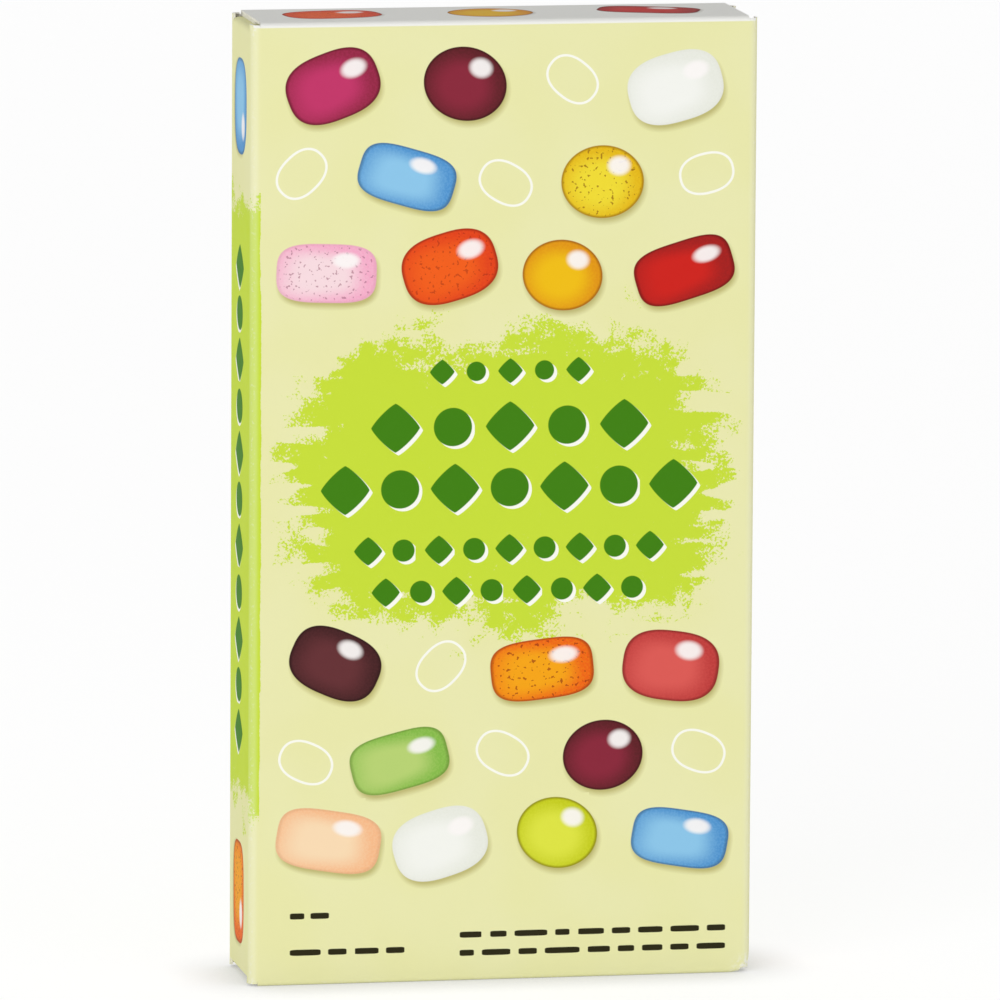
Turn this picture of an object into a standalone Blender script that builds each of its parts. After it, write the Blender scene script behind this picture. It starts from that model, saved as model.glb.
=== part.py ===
"""A shut folding carton for sweets: one glued board blank, filled and closed at both ends.

Units are metres. The origin is on the ground under the middle of the carton, +Z is up, and the front
panel faces -Y. The carton is shut and full, so it is one solid, out to the true form of its board:
rounded creases, slightly crowned panels, the closing boards stacked at each end, the low shoulders of
the side panels beside them, the slits at the corners and the cut edge of the glued side seam.
"""
import math

import bmesh
import bpy

# Driving dimensions of the carton, outside the board.
WIDTH = 0.083
DEPTH = 0.020
HEIGHT = 0.157
BOARD = 0.00045          # thickness of the paperboard

# Creases and panels.
CREASE_RADIUS = 0.0013   # outside radius of the four upright creases
FOLD_RADIUS = 0.0009     # outside radius of the folds at the two ends
FACE_CROWN = 0.00035     # how far the front and the back stand out at their middle
SIDE_CROWN = 0.00012     # the same for the two narrow sides
SEAM_INSET = 0.0010      # from the carton's side to the cut edge of the glued back panel

# Closing boards, which are cut a little narrower and shorter than the end that they cover.
FLAP_SIDE_GAP = 0.0014
FLAP_EDGE_GAP = 0.0005
FLAP_ROOT = 0.0030       # how deep a closing board's block reaches into the body

# Fineness of the faceting.
ARC_STEPS = 6
PANEL_SPANS = 10
SIDE_SPANS = 4
HEIGHT_SPANS = 16
SHARP_ANGLE = 30         # in degrees: folds meet their panels smoothly, cut edges do not
FLAT_ANGLE = 1e-5        # in radians: a quad more bent than this is split in two
CUTTER_MARGIN = 0.002    # how far a cutter stands clear of the body

# The side panels fold in under both closing boards, and the panels are flat as far as the blocks reach.
SHOULDER = 2 * BOARD
PANEL_END = FLAP_ROOT + SHOULDER


def clear_scene():
    """Removes whatever objects the file holds."""
    for item in list(bpy.data.objects):
        bpy.data.objects.remove(item, do_unlink=True)


def arc(centre, radius, start, end, steps=ARC_STEPS):
    """Points along an arc in a plane, both ends included, with the angles in degrees."""
    points = []
    for step in range(steps + 1):
        angle = math.radians(start + (end - start) * step / steps)
        points.append((centre[0] + radius * math.cos(angle), centre[1] + radius * math.sin(angle)))
    return points


def spans(start, end, count):
    """The points that split a straight run into equal spans, without its two ends."""
    return [
        tuple(a + (b - a) * step / count for a, b in zip(start, end))
        for step in range(1, count)
    ]


def prism(name, outline, levels, axis="Z"):
    """A closed solid with a flat outline, drawn through a list of levels along an axis.

    The outline is in (x, y) along Z, in (x, z) along Y, and in (y, z) along X.
    """
    place = {
        "Z": lambda a, b, c: (a, b, c),
        "Y": lambda a, b, c: (a, c, b),
        "X": lambda a, b, c: (c, a, b),
    }[axis]
    mesh = bpy.data.meshes.new(name)
    shape = bmesh.new()
    rings = [[shape.verts.new(place(a, b, level)) for a, b in outline] for level in levels]
    shape.faces.new(rings[0])
    shape.faces.new(rings[-1])
    for below, above in zip(rings, rings[1:]):
        for i in range(len(outline)):
            j = (i + 1) % len(outline)
            shape.faces.new((below[i], below[j], above[j], above[i]))
    bmesh.ops.recalc_face_normals(shape, faces=shape.faces)
    shape.to_mesh(mesh)
    shape.free()
    mesh.shade_smooth()
    mesh.set_sharp_from_angle(angle=math.radians(SHARP_ANGLE))
    item = bpy.data.objects.new(name, mesh)
    bpy.context.scene.collection.objects.link(item)
    return item


def body_outline():
    """The carton's level section, anticlockwise from the front left, with its glued seam.

    The back panel's cut edge stands at the right of the back. Round that corner the side panel turns
    in under it, one board thickness lower.
    """
    half_w = WIDTH / 2
    half_d = DEPTH / 2
    r = CREASE_RADIUS
    front_left = arc((-half_w + r, -half_d + r), r, 180, 270)
    front_right = arc((half_w - r, -half_d + r), r, 270, 360)
    # The tucked crease is followed round to the place where the cut edge stands on it.
    seam_x = half_w - SEAM_INSET
    seam_angle = math.degrees(math.acos((seam_x - half_w + r) / r))
    tucked = arc((half_w - r, half_d - BOARD - r), r, 0, seam_angle)
    seam_corner = (seam_x, half_d)
    back_left = arc((-half_w + r, half_d - r), r, 90, 180)
    return [
        *front_left,
        *spans(front_left[-1], front_right[0], PANEL_SPANS),
        *front_right,
        *spans(front_right[-1], tucked[0], SIDE_SPANS),
        *tucked,
        seam_corner,
        *spans(seam_corner, back_left[0], PANEL_SPANS),
        *back_left,
        *spans(back_left[-1], front_left[0], SIDE_SPANS),
    ]


def crowned(item):
    """Pushes the four panels of the body out, most at the middle of each and not at all at its edges."""
    flat_w = WIDTH / 2 - CREASE_RADIUS
    flat_d = DEPTH / 2 - CREASE_RADIUS
    middle = HEIGHT / 2
    for vertex in item.data.vertices:
        x, y, z = vertex.co
        along = max(0.0, 1 - abs((z - middle) / (middle - PANEL_END)) ** 4)
        across_face = max(0.0, 1 - (x / flat_w) ** 2)
        across_side = max(0.0, 1 - (y / flat_d) ** 2)
        if abs(y) > flat_d:
            vertex.co.y += math.copysign(FACE_CROWN * along * across_face, y)
        if abs(x) > flat_w:
            vertex.co.x += math.copysign(SIDE_CROWN * along * across_side, x)
    item.data.update()


def body():
    """The filled sleeve of the carton, up to the two low shoulders."""
    step = (HEIGHT - 2 * PANEL_END) / HEIGHT_SPANS
    levels = [PANEL_END + step * i for i in range(HEIGHT_SPANS + 1)]
    item = prism("carton", body_outline(), [SHOULDER, *levels, HEIGHT - SHOULDER])
    crowned(item)
    shape = bmesh.new()
    shape.from_mesh(item.data)
    bmesh.ops.connect_verts_nonplanar(shape, angle_limit=FLAT_ANGLE, faces=shape.faces)
    shape.to_mesh(item.data)
    shape.free()
    return item


def as_guide(item):
    """Marks a solid as one that only shapes another."""
    item.hide_render = True
    item.display_type = "WIRE"
    return item


def combine(target, guide, operation):
    """Adds a Boolean of a guide to the target."""
    step = target.modifiers.new(guide.name, "BOOLEAN")
    step.operation = operation
    step.solver = "EXACT"
    step.object = as_guide(guide)


def shoulder_cutter(name, side, end):
    """The waste outside the rounded fold of a side panel into its dust flap.

    side is -1 for the left and 1 for the right, end is -1 for the foot and 1 for the top.
    """
    r = FOLD_RADIUS
    reach = WIDTH / 2
    rim = HEIGHT / 2 - SHOULDER
    outer = reach + CUTTER_MARGIN
    over = rim + CUTTER_MARGIN
    corner = arc((reach - r, rim - r), r, 90, 0)
    outline = [(reach - r, over), *corner, (outer, rim - r), (outer, over)]
    turned = [(side * x, HEIGHT / 2 + end * z) for x, z in outline]
    deep = DEPTH / 2 + CUTTER_MARGIN
    return prism(name, turned, [-deep, deep], axis="Y")


def closing_board(name, end, hinge, level, edge_gap):
    """A board that closes one end, with its rounded fold at its hinge and a cut edge opposite.

    end is -1 for the foot and 1 for the top, hinge is -1 for the front and 1 for the back, and level is
    how many boards lie over it.
    """
    r = FOLD_RADIUS
    rim = HEIGHT / 2 - level * BOARD
    root = rim - FLAP_ROOT
    hinge_at = DEPTH / 2
    free_at = -DEPTH / 2 + edge_gap
    fold = arc((hinge_at - r, rim - r), r, 0, 90)
    outline = [(hinge_at, root), *fold, (free_at, rim), (free_at, root)]
    turned = [(hinge * y, HEIGHT / 2 + end * z) for y, z in outline]
    half = WIDTH / 2 - FLAP_SIDE_GAP
    return prism(name, turned, [-half, half], axis="X")


def paperboard():
    """Coated white paperboard under a pale yellow-green print."""
    material = bpy.data.materials.new("printed_board")
    material.use_nodes = True
    shader = material.node_tree.nodes["Principled BSDF"]
    shader.inputs["Base Color"].default_value = (0.81, 0.80, 0.43, 1.0)
    shader.inputs["Roughness"].default_value = 0.42
    shader.inputs["Metallic"].default_value = 0.0
    material.diffuse_color = (0.81, 0.80, 0.43, 1.0)
    return material


def build():
    """Makes the carton."""
    clear_scene()
    carton = body()
    for end, end_name in ((-1, "foot"), (1, "top")):
        for side, side_name in ((-1, "left"), (1, "right")):
            cutter = shoulder_cutter(f"shoulder_{end_name}_{side_name}", side, end)
            combine(carton, cutter, "DIFFERENCE")
        inner = closing_board(f"inner_board_{end_name}", end, 1, 1, FLAP_EDGE_GAP)
        outer = closing_board(f"outer_board_{end_name}", end, -1, 0, FLAP_EDGE_GAP)
        combine(carton, inner, "UNION")
        combine(carton, outer, "UNION")
    carton.data.materials.append(paperboard())


build()
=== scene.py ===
"""A shut folding carton for sweets: its glued board blank, its print and a small studio.

The board is grown from its front panel as one sheet, folded round and closed at both ends, and only
then given its thickness. Each point of the sheet keeps its place on the flat blank, in millimetres, and
the print is laid out there, as a printer would. Lengths are in metres unless a name ends in _mm.
"""

import logging
import math
import random
from collections.abc import Callable
from dataclasses import dataclass, field
from enum import Enum

import bmesh
import bpy
import numpy as np
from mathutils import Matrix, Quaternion, Vector, noise


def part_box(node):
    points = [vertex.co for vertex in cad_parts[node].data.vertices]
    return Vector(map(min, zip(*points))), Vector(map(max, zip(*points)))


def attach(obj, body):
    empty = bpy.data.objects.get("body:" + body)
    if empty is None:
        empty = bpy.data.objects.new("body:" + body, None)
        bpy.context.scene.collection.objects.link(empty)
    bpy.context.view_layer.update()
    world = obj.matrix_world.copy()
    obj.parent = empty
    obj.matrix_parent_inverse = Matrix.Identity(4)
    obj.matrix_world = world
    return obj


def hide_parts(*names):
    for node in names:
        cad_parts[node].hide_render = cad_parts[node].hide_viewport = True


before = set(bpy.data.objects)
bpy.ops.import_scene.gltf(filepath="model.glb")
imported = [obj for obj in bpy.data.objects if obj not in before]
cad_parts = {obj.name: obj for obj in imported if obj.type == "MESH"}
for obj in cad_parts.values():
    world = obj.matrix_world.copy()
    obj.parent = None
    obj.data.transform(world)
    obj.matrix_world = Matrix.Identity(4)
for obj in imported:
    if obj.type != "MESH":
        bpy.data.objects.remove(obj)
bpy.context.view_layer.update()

log = logging.getLogger("carton")

MM = 0.001
Numbers = tuple[float, ...]


# ---------------------------------------------------------------------------------------------------
# Shader building
# ---------------------------------------------------------------------------------------------------


def linear(red: int, green: int, blue: int) -> Numbers:
    """Turns a colour from 0 to 255 on screen into scene-linear numbers.

    Args:
        red: red, 0 to 255.
        green: green, 0 to 255.
        blue: blue, 0 to 255.

    Returns:
        The linear red, green and blue, 0 to 1.
    """
    found = []
    for value in (red, green, blue):
        part = value / 255
        found.append(part / 12.92 if part <= 0.04045 else ((part + 0.055) / 1.055) ** 2.4)
    return tuple(found)


@dataclass(frozen=True)
class Value:
    """A number in a shader, which arithmetic turns into Math nodes.

    Attributes:
        graph: the material's graph.
        socket: the output socket that holds the number.
    """

    graph: "Graph"
    socket: bpy.types.NodeSocket

    def _maths(self, operation: str, *numbers: "Value | float", clamp: bool = False) -> "Value":
        """Adds a Math node."""
        settings = {"operation": operation, "use_clamp": clamp}
        return self.graph.value("ShaderNodeMath", settings, dict(enumerate(numbers)))

    def __add__(self, other: "Value | float") -> "Value":
        """Sum."""
        return self._maths("ADD", self, other)

    def __radd__(self, other: float) -> "Value":
        """Sum, with the number first."""
        return self._maths("ADD", other, self)

    def __sub__(self, other: "Value | float") -> "Value":
        """Difference."""
        return self._maths("SUBTRACT", self, other)

    def __rsub__(self, other: float) -> "Value":
        """Difference, with the number first."""
        return self._maths("SUBTRACT", other, self)

    def __mul__(self, other: "Value | float") -> "Value":
        """Product."""
        return self._maths("MULTIPLY", self, other)

    def __rmul__(self, other: float) -> "Value":
        """Product, with the number first."""
        return self._maths("MULTIPLY", other, self)

    def __truediv__(self, other: "Value | float") -> "Value":
        """Quotient."""
        return self._maths("DIVIDE", self, other)

    def __rtruediv__(self, other: float) -> "Value":
        """Quotient, with the number first."""
        return self._maths("DIVIDE", other, self)

    def __pow__(self, other: "Value | float") -> "Value":
        """Power."""
        return self._maths("POWER", self, other)

    def __abs__(self) -> "Value":
        """Size without sign."""
        return self._maths("ABSOLUTE", self)

    def __lt__(self, other: "Value | float") -> "Value":
        """1 where the value is less than the other, else 0."""
        return self._maths("LESS_THAN", self, other)

    def __gt__(self, other: "Value | float") -> "Value":
        """1 where the value is more than the other, else 0."""
        return self._maths("GREATER_THAN", self, other)

    def least(self, other: "Value | float") -> "Value":
        """The lesser of two."""
        return self._maths("MINIMUM", self, other)

    def most(self, other: "Value | float") -> "Value":
        """The greater of two."""
        return self._maths("MAXIMUM", self, other)

    def clamped(self) -> "Value":
        """The value held between 0 and 1."""
        return self._maths("ADD", self, 0.0, clamp=True)

    def ramp(self, start: float, end: float) -> "Value":
        """A smooth step from 0 at start to 1 at end.

        Args:
            start: the value that gives 0.
            end: the value that gives 1, which may be less than start.

        Returns:
            The eased step.
        """
        settings = {"interpolation_type": "SMOOTHSTEP"}
        if start < end:
            sockets = {"Value": self, "From Min": start, "From Max": end}
            return self.graph.value("ShaderNodeMapRange", settings, sockets)
        sockets = {"Value": self, "From Min": end, "From Max": start, "To Min": 1.0, "To Max": 0.0}
        return self.graph.value("ShaderNodeMapRange", settings, sockets)


Colour = bpy.types.NodeSocket | Numbers


class Graph:
    """A new material's node tree, with its Principled shader."""

    def __init__(self, name: str) -> None:
        """Makes the material.

        Args:
            name: the material's name.
        """
        self.material = bpy.data.materials.new(name)
        self.material.use_nodes = True
        self.tree = self.material.node_tree
        self.shader = self.tree.nodes["Principled BSDF"]

    def node(
        self, kind: str, settings: dict[str, object], sockets: dict[str | int, object]
    ) -> bpy.types.Node:
        """Adds a node.

        Args:
            kind: the node's type.
            settings: its properties, which are set before its sockets.
            sockets: what feeds each input, by name or number: a Value, a socket, a colour or a number.

        Returns:
            The node.
        """
        made = self.tree.nodes.new(kind)
        for name, value in settings.items():
            setattr(made, name, value)
        for key, value in sockets.items():
            self.feed(made.inputs[key], value)
        return made

    def feed(self, entry: bpy.types.NodeSocket, value: object) -> None:
        """Links or sets an input socket."""
        if isinstance(value, Value):
            self.tree.links.new(value.socket, entry)
        elif isinstance(value, bpy.types.NodeSocket):
            self.tree.links.new(value, entry)
        elif isinstance(value, tuple) and entry.type == "RGBA":
            entry.default_value = (*value, 1.0)[:4]
        else:
            entry.default_value = value

    def value(self, kind: str, settings: dict[str, object], sockets: dict[str | int, object]) -> Value:
        """Adds a node and returns its first output as a number."""
        return Value(self, self.node(kind, settings, sockets).outputs[0])

    def mix(self, factor: Value | float, first: Colour, second: Colour, blend: str = "MIX") -> Colour:
        """Mixes two colours.

        Args:
            factor: 0 for the first colour, 1 for the second.
            first: the colour below.
            second: the colour above.
            blend: the way they mix.

        Returns:
            The mixed colour's socket.
        """
        settings = {"data_type": "RGBA", "blend_type": blend}
        # By number, because each kind of data has its own Factor, A and B.
        sockets = {0: factor, 6: first, 7: second}
        return self.node("ShaderNodeMix", settings, sockets).outputs[2]

    def stored(self, name: str) -> bpy.types.NodeSocket:
        """The vector that the mesh keeps under a name."""
        return self.node("ShaderNodeAttribute", {"attribute_name": name}, {}).outputs["Vector"]

    def parts(self, vector: bpy.types.NodeSocket) -> tuple[Value, Value, Value]:
        """Splits a vector into its three numbers."""
        made = self.node("ShaderNodeSeparateXYZ", {}, {0: vector})
        return tuple(Value(self, out) for out in made.outputs)

    def scaled(self, vector: bpy.types.NodeSocket, factors: Numbers) -> bpy.types.NodeSocket:
        """Multiplies a vector by three numbers."""
        sockets = {0: vector, 1: factors}
        return self.node("ShaderNodeVectorMath", {"operation": "MULTIPLY"}, sockets).outputs[0]

    def grain(self, vector: bpy.types.NodeSocket, scale: float, detail: float = 2.0) -> Value:
        """Noise from 0 to 1.

        Args:
            vector: where it is read.
            scale: how many lumps there are to a unit of the vector.
            detail: how many finer layers are added.

        Returns:
            The noise.
        """
        sockets = {"Vector": vector, "Scale": scale, "Detail": detail, "Roughness": 0.55}
        return self.value("ShaderNodeTexNoise", {"noise_dimensions": "2D"}, sockets)

    def bump(self, height: Value, distance: float, strength: float = 1.0) -> None:
        """Feeds a height to the shader's normal through a Bump node.

        Args:
            height: the height, 0 to 1.
            distance: what a height of 1 stands for, in metres.
            strength: how much of it shows.
        """
        sockets = {"Height": height, "Distance": distance, "Strength": strength}
        made = self.node("ShaderNodeBump", {}, sockets)
        self.tree.links.new(made.outputs["Normal"], self.shader.inputs["Normal"])

    def dress(self, **inputs: object) -> None:
        """Feeds the shader's inputs, named with _ for each space."""
        for name, value in inputs.items():
            self.feed(self.shader.inputs[name.replace("_", " ")], value)


# ---------------------------------------------------------------------------------------------------
# Inks and printed shapes
# ---------------------------------------------------------------------------------------------------


@dataclass(frozen=True)
class Ink:
    """A pair of printed colours, for the middle and the rim of a shape.

    Attributes:
        core: linear colour at the middle.
        rim: linear colour at the edge.
        flecks: how strongly darker flecks show, 0 to 1.
        outline: how dark the thin line round it is, 0 to 1.
    """

    core: Numbers
    rim: Numbers
    flecks: float = 0.0
    outline: float = 0.8


class Candy(Enum):
    """The colours of the printed sweets."""

    MAGENTA = Ink(linear(194, 52, 104), linear(146, 36, 66))
    PALE_LIME = Ink(linear(238, 234, 160), linear(216, 222, 82), 0.0, 0.2)
    PINK = Ink(linear(247, 219, 224), linear(244, 170, 200), 0.8, 0.15)
    WHITE = Ink(linear(244, 245, 239), linear(232, 234, 224), 0.0, 0.05)
    CRIMSON = Ink(linear(224, 55, 74), linear(176, 34, 58))
    RED = Ink(linear(206, 30, 22), linear(160, 26, 24))
    PALE_AMBER = Ink(linear(245, 222, 142), linear(242, 188, 60), 0.0, 0.3)
    MAROON = Ink(linear(137, 37, 57), linear(92, 28, 34))
    ORANGE = Ink(linear(246, 165, 12), linear(238, 98, 10), 1.0)
    VERMILION = Ink(linear(242, 94, 20), linear(226, 64, 18), 0.6)
    LIME = Ink(linear(222, 228, 66), linear(196, 204, 20))
    GREEN = Ink(linear(183, 210, 115), linear(132, 186, 72), 0.0, 0.5)
    BROWN = Ink(linear(100, 46, 50), linear(66, 28, 30))
    YELLOW = Ink(linear(240, 219, 50), linear(228, 182, 14), 1.0)
    PEACH = Ink(linear(249, 219, 180), linear(246, 186, 138), 0.0, 0.2)
    ROSE = Ink(linear(220, 90, 84), linear(190, 58, 56))
    AMBER = Ink(linear(240, 190, 10), linear(224, 146, 8))
    BLUE = Ink(linear(140, 198, 234), linear(78, 146, 206), 0.0, 0.6)


WHITE_INK = linear(250, 250, 240)
SHADE_INK = linear(172, 162, 84)
GREY_INK = linear(186, 182, 172)
LEAF = Ink(linear(62, 128, 4), linear(62, 128, 4))
DARK = Ink(linear(40, 36, 10), linear(40, 36, 10))
CHALK = Ink(WHITE_INK, WHITE_INK)


@dataclass(frozen=True)
class Press:
    """How a printed shape is laid down.

    Attributes:
        line: half the width of its outline (mm), or SOLID where it is filled.
        under: linear colour of the copy printed under it.
        shift: how far right and up that copy lies (mm).
        soft: how soft that copy's edge is (mm).
        cover: how strongly that copy shows, 0 to 1.
        gleam: how strongly the shape is shaded and lit, 0 to 1.
    """

    line: float
    under: Numbers = WHITE_INK
    shift: tuple[float, float] = (0.0, 0.0)
    soft: float = 0.1
    cover: float = 0.0
    gleam: float = 0.0


SOLID = 100.0


class Style(Enum):
    """The ways in which the carton's shapes are printed."""

    GLOSSY = Press(SOLID, SHADE_INK, (0.3, -0.75), 1.1, 0.7, 1.0)
    ON_WHITE = Press(SOLID, GREY_INK, (0.2, -0.5), 0.8, 0.7, 1.0)
    LINE = Press(0.2)
    STAMP = Press(SOLID, WHITE_INK, (0.5, -0.45), 0.08, 1.0)
    FLAT = Press(SOLID)


class Form(Enum):
    """The outlines of printed shapes: half length, half height (mm) and squareness."""

    LENTIL = (6.9, 6.0, 2.0)
    PILLOW = (7.8, 5.6, 2.7)
    PASTILLE = (8.4, 4.9, 3.4)
    RING = (4.6, 3.4, 2.3)
    DIAMOND = (4.2, 4.2, 1.2)
    DOT = (3.3, 3.3, 2.0)
    DASH = (1.7, 0.5, 6.0)


@dataclass(frozen=True)
class Shape:
    """One printed shape.

    Attributes:
        place: its middle on the flat blank (mm).
        form: its outline.
        ink: its colours.
        style: how it is printed.
        turn: its turn, anticlockwise (degrees).
        scale: its size against its form.
        stretch: its length against its form's, on top of scale.
        upright: the turn of the panel that it is printed on (degrees), which its light follows.
    """

    place: tuple[float, float]
    form: Form
    ink: Ink
    style: Style
    turn: float = 0.0
    scale: float = 1.0
    stretch: float = 1.0
    upright: float = 0.0

    @property
    def half(self) -> tuple[float, float]:
        """Its half length and half height (mm)."""
        return self.form.value[0] * self.scale * self.stretch, self.form.value[1] * self.scale

    def local(self, right: float, up: float) -> tuple[float, float]:
        """Turns a way on the panel into the shape's own directions."""
        angle = math.radians(self.upright - self.turn)
        cos, sin = math.cos(angle), math.sin(angle)
        return right * cos - up * sin, right * sin + up * cos

    def stored(self) -> dict[str, Numbers]:
        """What the print's shader reads of the shape, three numbers to each name."""
        press = self.style.value
        return {
            "print_size": (*self.half, self.form.value[2]),
            "print_under": (*self.local(*press.shift), press.soft),
            "print_gleam": (*self.gleam_place, press.gleam),
            "print_cover": (press.cover, self.ink.flecks, self.ink.outline),
            "ink_core": self.ink.core,
            "ink_rim": self.ink.rim,
            "ink_under": press.under,
        }

    @property
    def gleam_place(self) -> tuple[float, float]:
        """The middle of its highlight, at its upper right, in its own directions (mm)."""
        long, high = self.half
        right, up = self.local(1.0, 1.15)
        return 0.4 * long * right, 0.38 * high * up


@dataclass(frozen=True)
class BrushField:
    """A field of lime laid on with a dry brush.

    Attributes:
        place: its middle on the flat blank (mm).
        half: its half width and half height (mm).
        ragged: how far the bristles run out at its upper and lower edges (mm).
        loose: how far they run out at its left and right edges, and how round it is (mm).
        lead: how far into its neighbours' room it may reach (mm).
    """

    place: tuple[float, float]
    half: tuple[float, float]
    ragged: float
    loose: float
    lead: float = 0.0


# ---------------------------------------------------------------------------------------------------
# The carton's sizes and its blank
# ---------------------------------------------------------------------------------------------------


@dataclass(frozen=True)
class CartonSizes:
    """The folded carton's own sizes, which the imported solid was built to.

    Attributes:
        width: across the front, outside.
        depth: from the front to the back, outside.
        height: from the foot to the top.
        board: thickness of the paperboard.
        lap: from one lapped board's face to the next, a hair more than the board.
        crease: outside radius of the upright creases.
        fold: outside radius of the folds at the ends.
        face_crown: how far the front and the back stand out.
        side_crown: how far the narrow sides stand out.
        seam_inset: from the carton's side to the cut edge of the back panel.
        flap_inset: from the carton's side to the side edge of a closing board.
        flap_short: from the back to the free edge of an outer closing board.
        dust_half: half the width of a dust flap at its root.
    """

    width: float
    depth: float
    height: float
    board: float = 0.43 * MM
    lap: float = 0.45 * MM
    crease: float = 1.3 * MM
    fold: float = 0.9 * MM
    face_crown: float = 0.35 * MM
    side_crown: float = 0.12 * MM
    seam_inset: float = 1.0 * MM
    flap_inset: float = 1.4 * MM
    flap_short: float = 0.5 * MM
    dust_half: float = 8.1 * MM

    @classmethod
    def from_frame(cls) -> "CartonSizes":
        """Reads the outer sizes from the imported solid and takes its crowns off."""
        low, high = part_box("carton")
        width = high[0] - low[0] - 2 * cls.side_crown
        depth = high[1] - low[1] - 2 * cls.face_crown
        return cls(width, depth, high[2] - low[2])

    @property
    def half_width(self) -> float:
        """Half the width."""
        return self.width / 2

    @property
    def half_depth(self) -> float:
        """Half the depth."""
        return self.depth / 2


@dataclass
class Sheet:
    """An open sheet that is grown edge by edge and knows its places on the flat blank.

    Attributes:
        name: the object's name.
        item: the object, in edit mode until the sheet is closed.
        axis: 0 while the sheet grows along the blank's width, 1 along its height.
        sign: 1 or -1, the way along that axis.
        at: how far along the blank the growing edge is, in metres.
    """

    name: str
    item: bpy.types.Object | None = None
    axis: int = 0
    sign: int = 1
    at: float = 0.0

    PLACES = "sheet"
    CURL_STEPS = 6

    def start(self, low: Numbers, high: Numbers, columns: int, rows: int) -> None:
        """Lays the first panel, upright and facing the front.

        Args:
            low: its lower left corner.
            high: its upper right corner.
            columns: how many faces wide it is.
            rows: how many faces high it is.
        """
        bpy.ops.object.select_all(action="DESELECT")
        bpy.ops.mesh.primitive_grid_add(
            x_subdivisions=columns, y_subdivisions=rows, size=1.0, rotation=(math.pi / 2, 0.0, 0.0)
        )
        self.item = bpy.context.object
        self.item.name = self.name
        self.item.data.name = self.name
        bpy.ops.object.transform_apply(rotation=True)
        bpy.ops.object.mode_set(mode="EDIT")
        bpy.ops.mesh.select_all(action="SELECT")
        bpy.ops.transform.resize(value=(high[0] - low[0], 1.0, high[2] - low[2]))
        bpy.ops.transform.translate(value=[(a + b) / 2 for a, b in zip(low, high)])
        bpy.ops.object.mode_set(mode="OBJECT")
        places = self.item.data.attributes.new(self.PLACES, "FLOAT_VECTOR", "POINT")
        for vertex, entry in zip(self.item.data.vertices, places.data):
            entry.vector = (vertex.co.x / MM, vertex.co.z / MM, 0.0)
        bpy.ops.object.mode_set(mode="EDIT")

    def pick_border(self, test: Callable[[Vector], bool]) -> None:
        """Selects the open edges whose middle passes a test, and nothing else."""
        bpy.ops.mesh.select_mode(type="EDGE")
        bpy.ops.mesh.select_all(action="DESELECT")
        shape = bmesh.from_edit_mesh(self.item.data)
        for edge in shape.edges:
            if edge.is_boundary and test((edge.verts[0].co + edge.verts[1].co) / 2):
                edge.select_set(True)
        bmesh.update_edit_mesh(self.item.data)

    def drop_faces(self, test: Callable[[Vector], bool]) -> None:
        """Deletes the faces whose middle passes a test."""
        bpy.ops.mesh.select_mode(type="FACE")
        bpy.ops.mesh.select_all(action="DESELECT")
        shape = bmesh.from_edit_mesh(self.item.data)
        for face in shape.faces:
            if test(face.calc_center_median()):
                face.select_set(True)
        bmesh.update_edit_mesh(self.item.data)
        bpy.ops.mesh.delete(type="FACE")

    def head(self, axis: int, sign: int, at: float) -> None:
        """Sets the way along the blank that the selected edges grow.

        Args:
            axis: 0 for the blank's width, 1 for its height.
            sign: 1 or -1 along it.
            at: the blank coordinate that they start from.
        """
        self.axis = axis
        self.sign = sign
        self.at = at

    def _advance(self, length: float) -> None:
        """Moves the blank coordinate on and writes it to the points just grown."""
        self.at += self.sign * length
        shape = bmesh.from_edit_mesh(self.item.data)
        layer = shape.verts.layers.float_vector[self.PLACES]
        for vertex in shape.verts:
            if vertex.select:
                vertex[layer][self.axis] = self.at / MM

    def grow(self, step: Numbers, count: int = 1) -> None:
        """Extrudes the selected edges straight on.

        Args:
            step: the whole way, in space.
            count: how many rows of faces to make.
        """
        part = Vector(step) / count
        for _ in range(count):
            bpy.ops.mesh.extrude_edges_move(TRANSFORM_OT_translate={"value": part})
            self._advance(part.length)

    def curl(
        self,
        centre: Numbers,
        about: Numbers,
        angle: float,
        length: float,
        narrow: Numbers | None = None,
    ) -> None:
        """Spins the selected edges round a crease.

        Args:
            centre: a point on the crease's axis.
            about: the direction of that axis.
            angle: the turn, by the right-hand rule (radians).
            length: how much of the blank the crease takes up.
            narrow: the scale at each step, which opens the slits at a flap's sides.
        """
        part = -angle / self.CURL_STEPS     # the operator turns by the left-hand rule
        for _ in range(self.CURL_STEPS):
            bpy.ops.mesh.spin(steps=1, angle=part, center=centre, axis=about)
            self._advance(length / self.CURL_STEPS)
            if narrow:
                self.taper(narrow)

    def taper(self, factors: Numbers) -> None:
        """Scales the selected edges about their own middle."""
        bpy.ops.transform.resize(value=factors)

    def close(self) -> None:
        """Leaves edit mode with every face pointing out."""
        bpy.ops.mesh.select_all(action="SELECT")
        bpy.ops.mesh.normals_make_consistent(inside=False)
        bpy.ops.object.mode_set(mode="OBJECT")
        foremost = min(self.item.data.polygons, key=lambda face: face.center.y)
        if foremost.normal.y > 0:
            self.item.data.flip_normals()


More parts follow.
